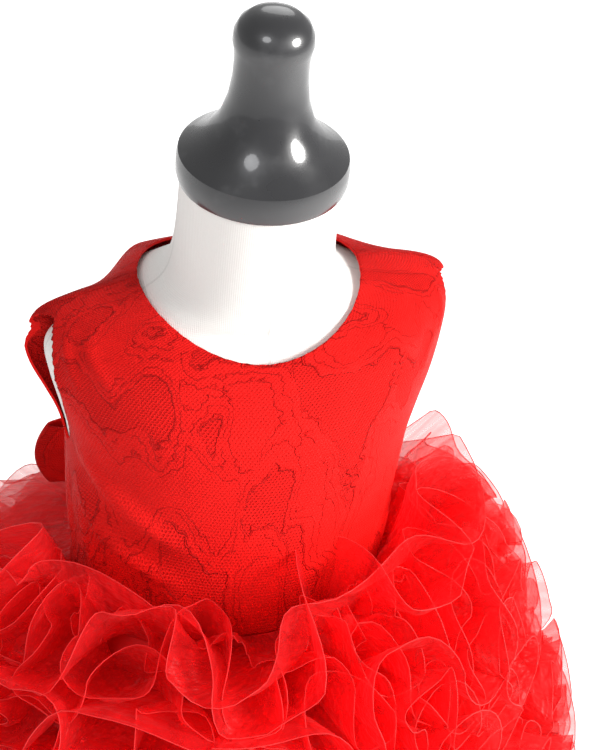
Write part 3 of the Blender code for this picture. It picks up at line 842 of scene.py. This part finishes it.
def ruffle_point(tier, strip, wave, out):
    """A point of a strip: wave counts crests round the ring, out runs from 0 at the seam to 1."""
    waves = waves_of(tier, strip)
    lane = 10.0 * TIERS.index(tier) + 37.0 * strip.step
    turned = 2.0 * math.pi * wave / waves
    slow = SLOW_RIPPLE / 3.0 * math.sin(3.0 * turned + tier.uneven)
    quick = QUICK_RIPPLE / 5.0 * math.sin(5.0 * turned + 2.0 * tier.uneven)
    shift = (slow + quick) * waves / (2.0 * math.pi)
    beat = wave + strip.step
    overhang = strip.spread * out * math.sin(4.0 * math.pi * beat)
    lean = LEAN_CHANCE * out * wander(wave, waves, 0.8, lane + 1.0)
    degrees = tier.crest + 360.0 * (wave - 0.25 + shift - overhang + lean) / waves
    rear = behind(degrees)
    lift = tier.lift + (tier.rear_lift - tier.lift) * rear + strip.tilt
    calm = 1.0 - REAR_CALM * rear
    swing = (tier.swing + (tier.rear_swing - tier.swing) * rear) * strip.swing
    height = (0.88 + 0.12 * math.sin(4.0 * turned + 3.0 * tier.uneven)) * (0.75 + 0.25 * out)
    beat_up = math.sin(2.0 * math.pi * beat)
    pitch = lift + swing * height * beat_up + LIFT_CHANCE * calm * wander(wave, waves, 1.3, lane)
    arch = calm * (strip.arch * beat_up + ARCH_CHANCE * wander(wave, waves, 2.6, lane + 2.0))
    flutter = FLUTTER * calm * out * wander(wave, waves, 4.6, lane + 3.0)
    start = math.radians(pitch + 0.5 * arch)
    end = math.radians(pitch - 0.5 * arch + flutter)
    bend = end - start
    if abs(bend) < LEAST_BEND:
        bend = LEAST_BEND
    here = start + bend * out
    run_out = (math.sin(here) - math.sin(start)) / bend
    run_up = (math.cos(start) - math.cos(here)) / bend
    section = section_at(UNDERSKIRT, tier.height - strip.drop)
    on_skirt = ellipse_point(section, degrees)
    outward = (ellipse_point(section, degrees, 1.0) - on_skirt).normalized()
    below = ellipse_point(section_at(UNDERSKIRT, tier.height - strip.drop - SLOPE_STEP), degrees)
    slope = math.atan2((below - on_skirt).dot(outward), SLOPE_STEP)
    normal = outward * math.cos(slope) + Vector((0.0, 0.0, math.sin(slope)))
    root = on_skirt + normal * (SKIRT_WALL + SEAM_GAP + 0.4 * ORGANZA_WALL)
    width = tier.strip * strip.reach
    crumple = abs(wander(wave + 0.5 * out, waves, CREASES_PER_WAVE, lane + 4.0)) - CREASE_LEVEL
    crease = CREASE_DEPTH * out * crumple * calm
    across = outward * -math.sin(here) + Vector((0.0, 0.0, math.cos(here)))
    upward = Vector((0.0, 0.0, 1.0))
    return root + outward * (width * run_out) + upward * (width * run_up) + across * crease


def edge_cord(name, ring, width):
    """A round rolled edge along the outer points of a strip."""
    steps = len(ring) - 1
    radius = EDGE_RADIUS

    def place(along, around):
        step = round(along * steps)
        edge, inner = ring[step]
        following, leading = ring[(step + 1) % steps][0], ring[(step - 1) % steps][0]
        tangent = (following - leading).normalized()
        outward = (edge - inner).normalized()
        aside = tangent.cross(outward).normalized()
        outward = aside.cross(tangent)
        angle = 2.0 * math.pi * around
        return edge + (outward * math.cos(angle) + aside * math.sin(angle)) * radius

    shape = cloth_grid(steps, EDGE_SIDES, width, 2.0 * math.pi * radius, place)
    bmesh.ops.remove_doubles(shape, verts=shape.verts, dist=0.00002)
    bmesh.ops.recalc_face_normals(shape, faces=shape.faces)
    return to_piece(shape, name, thread)


def ruffle(number, tier, strip):
    """One organza strip with its rolled edge. It gives back the length of that edge."""
    columns = waves_of(tier, strip) * columns_per_wave
    outs = [row / RUFFLE_ROWS for row in range(RUFFLE_ROWS + 1)]
    grid = [
        [ruffle_point(tier, strip, column / columns_per_wave, out) for out in outs]
        for column in range(columns)
    ]
    edge_length = sum((grid[k][-1] - grid[k - 1][-1]).length for k in range(columns))

    def place(along, out):
        return grid[round(along * columns) % columns][round(out * RUFFLE_ROWS)]

    width = tier.strip * strip.reach
    shape = cloth_grid(columns, RUFFLE_ROWS, edge_length, width, place)
    bmesh.ops.remove_doubles(shape, verts=shape.verts, dist=0.00001)
    name = f"ruffle_{number}{strip.name}"
    replaced = [] if strip.name else [name]
    piece = to_piece(shape, f"{name}_organza", organza, replaced)
    ring = [(line[-1], line[-2]) for line in grid]
    ring.append(ring[0])
    cord = edge_cord(f"{name}_edge", ring, edge_length)
    return edge_length


lengths = [ruffle(1, TIERS[0], HEADING)]
for number, tier in enumerate(TIERS, start=1):
    strips = STRIPS if number > 1 else [STRIPS[0], LOBE, *STRIPS[2:]]
    lengths += [ruffle(number, tier, strip) for strip in strips]
print(len(lengths), "organza strips,", round(sum(lengths), 1), "m of rolled edge")

# %% [markdown]
# The bow at the back of the waist is two folded wings of the bodice's lace, pinched by a band.

# %% Bow
BOW_HEIGHT = 0.0205
BOW_Y = 0.0892
BOW_BAND_HALF_WIDTH = 0.0095
BOW_BAND_HALF_DEPTH = 0.0130
BOW_BAND_HALF_HEIGHT = 0.0135
BOW_PINCH_HALF_HEIGHT = 0.0105
BOW_WING_HALF_HEIGHT = 0.0245
BOW_WING_REACH = 0.0900
BOW_WING_PUFF = 0.0095
BOW_WING_SWEEP = -0.0120
BOW_WALL = 0.0015
WING_FLAT = (0.055, 0.20)
BAND_FLAT = (0.027, 0.072)
WING_SWELL_START = 0.12
WING_SWELL_SPAN = 0.70
WING_SLACK = 0.0035
WING_PLEAT = 0.0022
WING_CREASE = 0.0012
WING_BULGE = 0.008
WING_DROOP = 0.001


def bow_wing(name, side):
    def place(along, row):
        up = side * (2.0 * row - 1.0)
        out = math.sin(math.pi * along)
        swell = math.sin(math.pi * (WING_SWELL_START + WING_SWELL_SPAN * out))
        face = math.cos(math.pi * along)
        reach = BOW_BAND_HALF_WIDTH + SEAM_GAP + BOW_WALL / 2 + BOW_WING_REACH * out
        spread = BOW_PINCH_HALF_HEIGHT + (BOW_WING_HALF_HEIGHT - BOW_PINCH_HALF_HEIGHT) * out**0.9
        puff = (WING_SLACK + BOW_WING_PUFF * swell) * face
        pleat = WING_PLEAT * math.cos(3.0 * math.pi * up) * (1.0 - out)
        crease = WING_CREASE * math.sin(5.0 * up + 2.0 * along) * math.sin(math.pi * out)
        return Vector((
            side * (reach + WING_BULGE * out * (1.0 - up * up)),
            BOW_Y + BOW_WING_SWEEP * out + puff + pleat + crease,
            waist + BOW_HEIGHT + spread * up - WING_DROOP * out,
        ))

    shape = cloth_grid(72, 28, WING_FLAT[1], WING_FLAT[0], place)
    piece = to_piece(shape, f"{name}_lace", lace, [name])
    wall = piece.modifiers.new("wall", "SOLIDIFY")
    wall.thickness = BOW_WALL
    wall.offset = 0.0
    finish_modifiers(piece)


def bow_band():
    def place(along, up):
        angle = 2.0 * math.pi * along
        square = 1.0 / max(abs(math.cos(angle)), abs(math.sin(angle))) ** 0.55
        pinch = 1.0 - 0.10 * math.cos(math.pi * (up - 0.5)) + 0.02 * math.sin(14.0 * math.pi * up)
        return Vector((
            BOW_BAND_HALF_WIDTH * 0.94 * math.cos(angle) * square * pinch,
            BOW_Y + BOW_BAND_HALF_DEPTH * 0.94 * math.sin(angle) * square * pinch,
            waist + BOW_HEIGHT + BOW_BAND_HALF_HEIGHT * (2.0 * up - 1.0),
        ))

    shape = cloth_grid(64, 24, BAND_FLAT[1], BAND_FLAT[0], place)
    bmesh.ops.remove_doubles(shape, verts=shape.verts, dist=0.00002)
    bmesh.ops.recalc_face_normals(shape, faces=shape.faces)
    piece = to_piece(shape, "bow_band_lace", lace, ["bow_band"])
    wall = piece.modifiers.new("wall", "SOLIDIFY")
    wall.thickness = BOW_WALL
    wall.offset = -1.0
    finish_modifiers(piece)


bow_wing("bow_wing_right", -1)
bow_wing("bow_wing_left", 1)
bow_band()

# %% [markdown]
# The form's torso is a closed loft through its sections. The cap, collar, pole and foot are turned,
# so each is a short profile spun round an upright axis.

# %% Dress form
FORM = [
    Section(-0.1700, 0.0900, 0.0740, 0.000),
    Section(-0.1660, 0.0960, 0.0790, 0.000),
    Section(-0.1200, 0.1000, 0.0820, 0.000),
    Section(-0.0600, 0.0960, 0.0760, 0.000),
    Section(-0.0200, 0.0915, 0.0705, 0.000),
    Section(0.0200, 0.0918, 0.0716, 0.000),
    Section(0.0600, 0.0944, 0.0750, 0.000),
    Section(0.0900, 0.0970, 0.0784, 0.000),
    Section(0.1150, 0.0988, 0.0788, 0.001),
    Section(0.1350, 0.1026, 0.0766, 0.001),
    Section(0.1600, 0.1080, 0.0708, 0.002),
    Section(0.1780, 0.1102, 0.0642, 0.003),
    Section(0.1890, 0.1060, 0.0568, 0.003),
    Section(0.1975, 0.0930, 0.0500, 0.003),
    Section(0.2040, 0.0740, 0.0455, 0.003),
    Section(0.2100, 0.0580, 0.0445, 0.001),
    Section(0.2200, 0.0470, 0.0430, -0.001),
    Section(0.2400, 0.0425, 0.0415, -0.003),
    Section(0.2800, 0.0415, 0.0410, -0.006),
]


def torso_place(along, up):
    return shoulder_point(ellipse_point(section_by_row(FORM, up * (len(FORM) - 1)), 360.0 * along))


shape = cloth_grid(96, 108, 0.55, 0.50, torso_place)
bmesh.ops.remove_doubles(shape, verts=shape.verts, dist=0.00005)
rims = [edge for edge in shape.edges if edge.is_boundary]
bmesh.ops.holes_fill(shape, edges=rims, sides=0)
bmesh.ops.recalc_face_normals(shape, faces=shape.faces)
torso = to_piece(shape, "form_torso_linen", linen, ["form_torso"])
torso.data.set_sharp_from_angle(angle=math.radians(50.0))

# %% Turned parts
CapPoint = namedtuple("CapPoint", "radius height")
NECK_CAP = [
    CapPoint(0.0000, 0.3735),
    CapPoint(0.0065, 0.3729),
    CapPoint(0.0125, 0.3708),
    CapPoint(0.0170, 0.3670),
    CapPoint(0.0194, 0.3620),
    CapPoint(0.0198, 0.3570),
    CapPoint(0.0190, 0.3535),
    CapPoint(0.0184, 0.3480),
    CapPoint(0.0186, 0.3380),
    CapPoint(0.0202, 0.3260),
    CapPoint(0.0240, 0.3140),
    CapPoint(0.0310, 0.3040),
    CapPoint(0.0390, 0.2980),
    CapPoint(0.0432, 0.2950),
    CapPoint(0.0440, 0.2910),
    CapPoint(0.0440, 0.2840),
    CapPoint(0.0430, 0.2803),
    CapPoint(0.0000, 0.2803),
]


def turned_piece(name, profile, material, centre_y=0.0, base=0.0):
    """A profile of radius and height above base, spun about an upright axis."""
    shape = bmesh.new()
    points = [shape.verts.new((radius, 0.0, base + height)) for radius, height in profile]
    for upper, lower in zip(points, points[1:]):
        shape.edges.new((upper, lower))
    bmesh.ops.spin(
        shape, geom=shape.verts[:] + shape.edges[:], cent=(0.0, 0.0, 0.0), axis=(0.0, 0.0, 1.0),
        angle=2.0 * math.pi, steps=64, use_merge=True,
    )
    bmesh.ops.remove_doubles(shape, verts=shape.verts, dist=0.00001)
    bmesh.ops.recalc_face_normals(shape, faces=shape.faces)
    bmesh.ops.translate(shape, vec=(0.0, centre_y, 0.0), verts=shape.verts)
    piece = to_piece(shape, f"{name}_finished", material, [name])
    piece.data.set_sharp_from_angle(angle=math.radians(38.0))
    return piece


turned_piece("form_neck_cap", NECK_CAP, lacquer, centre_y=-0.006, base=waist)
collar_low, collar_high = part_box("stand_collar")
pole_low, pole_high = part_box("stand_pole")
foot_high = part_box("stand_foot")[1]
COLLAR_RADIUS = collar_high.x
COLLAR_HUB_RADIUS = 0.0190
COLLAR_PLATE = 0.0040
turned_piece("stand_collar", [
    (0.0, collar_high.z),
    (COLLAR_RADIUS - 0.0008, collar_high.z),
    (COLLAR_RADIUS, collar_high.z - 0.0008),
    (COLLAR_RADIUS, collar_high.z - COLLAR_PLATE),
    (COLLAR_HUB_RADIUS + 0.002, collar_high.z - 1.4 * COLLAR_PLATE),
    (COLLAR_HUB_RADIUS, collar_high.z - 2.0 * COLLAR_PLATE),
    (COLLAR_HUB_RADIUS, collar_low.z),
    (0.0, collar_low.z),
], steel)
turned_piece("stand_pole", [
    (0.0, pole_high.z),
    (pole_high.x, pole_high.z),
    (pole_high.x, pole_low.z),
    (0.0, pole_low.z),
], steel)
FOOT_HUB_RADIUS = 0.0240
turned_piece("stand_foot", [
    (0.0, foot_high.z),
    (FOOT_HUB_RADIUS * 0.74, foot_high.z),
    (FOOT_HUB_RADIUS * 0.82, foot_high.z - 0.0012),
    (FOOT_HUB_RADIUS, foot_high.z * 0.5),
    (FOOT_HUB_RADIUS * 1.25, foot_high.z * 0.41),
    (FOOT_HUB_RADIUS * 1.6, 0.0140),
    (foot_high.x - 0.008, 0.0100),
    (foot_high.x - 0.001, 0.0087),
    (foot_high.x, 0.0078),
    (foot_high.x, 0.0006),
    (foot_high.x - 0.0006, 0.0),
    (0.0, 0.0),
], steel)

# %% [markdown]
# The bodice is a shaped front and two half backs, cut about 1 cm larger than they lie. The
# underskirt is a bell, cut in four gores.

# %% [markdown]
# The dress was lit by bright, soft daylight from its left, against a white that is overexposed. A
# large light on that side does most, a weaker one from the front and above draws the folds of the
# shaded side, and a faint one behind lights the back. The floor glows so that it shows as white.

# %% Floor and light
FLOOR_SIZE = 12.0
FLOOR_GLOW = 0.70
FLOOR_LIGHT = (0.66, 0.66, 0.66, 1.0)
FLOOR_DARK = (0.63, 0.63, 0.63, 1.0)
WORLD_STRENGTH = 0.46
Lamp = namedtuple("Lamp", "name place size watts colour")
LAMPS = [
    Lamp("window", (1.9, -1.3, waist + 1.2), 1.2, 110.0, (1.0, 0.99, 0.97)),
    Lamp("fill", (-1.1, -1.3, waist + 1.9), 0.9, 17.0, (0.97, 0.98, 1.0)),
    Lamp("back_rim", (0.6, 1.8, waist + 1.3), 1.2, 8.0, (1.0, 1.0, 1.0)),
]


def white_floor():
    material, tree, end = new_finish("floor_white")
    place = add(tree, "ShaderNodeTexCoord").outputs["Object"]
    cloudy = add(tree, "ShaderNodeTexNoise", Vector=place, Scale=1.5, Detail=2.0).outputs["Fac"]
    colour = mixed(tree, band(tree, cloudy, 0.3, 0.7, 0.0, 0.3), FLOOR_LIGHT, FLOOR_DARK)
    shader = add(
        tree, "ShaderNodeBsdfPrincipled", Base_Color=colour, Roughness=0.9,
        Emission_Color=(1.0, 1.0, 1.0, 1.0), Emission_Strength=FLOOR_GLOW,
    )
    tree.links.new(shader.outputs[0], end.inputs["Surface"])
    shape = bmesh.new()
    bmesh.ops.create_grid(shape, x_segments=2, y_segments=2, size=FLOOR_SIZE / 2.0)
    mesh = bpy.data.meshes.new("floor")
    shape.to_mesh(mesh)
    shape.free()
    mesh.materials.append(material)
    floor = bpy.data.objects.new("floor", mesh)
    bpy.context.scene.collection.objects.link(floor)


def area_light(lamp, aim):
    data = bpy.data.lights.new(lamp.name, "AREA")
    data.shape = "DISK"
    data.size = lamp.size
    data.energy = lamp.watts
    data.color = lamp.colour
    light = bpy.data.objects.new(lamp.name, data)
    bpy.context.scene.collection.objects.link(light)
    light.location = lamp.place
    light.rotation_euler = (aim - Vector(lamp.place)).to_track_quat("-Z", "Y").to_euler()


white_floor()
for lamp in LAMPS:
    area_light(lamp, Vector((0.0, 0.0, waist)))
world = bpy.data.worlds.new("white_surround")
world.use_nodes = True
world.node_tree.nodes["Background"].inputs["Color"].default_value = (1.0, 1.0, 1.0, 1.0)
world.node_tree.nodes["Background"].inputs["Strength"].default_value = WORLD_STRENGTH
bpy.context.scene.world = world
bpy.context.scene.view_settings.view_transform = "Standard"
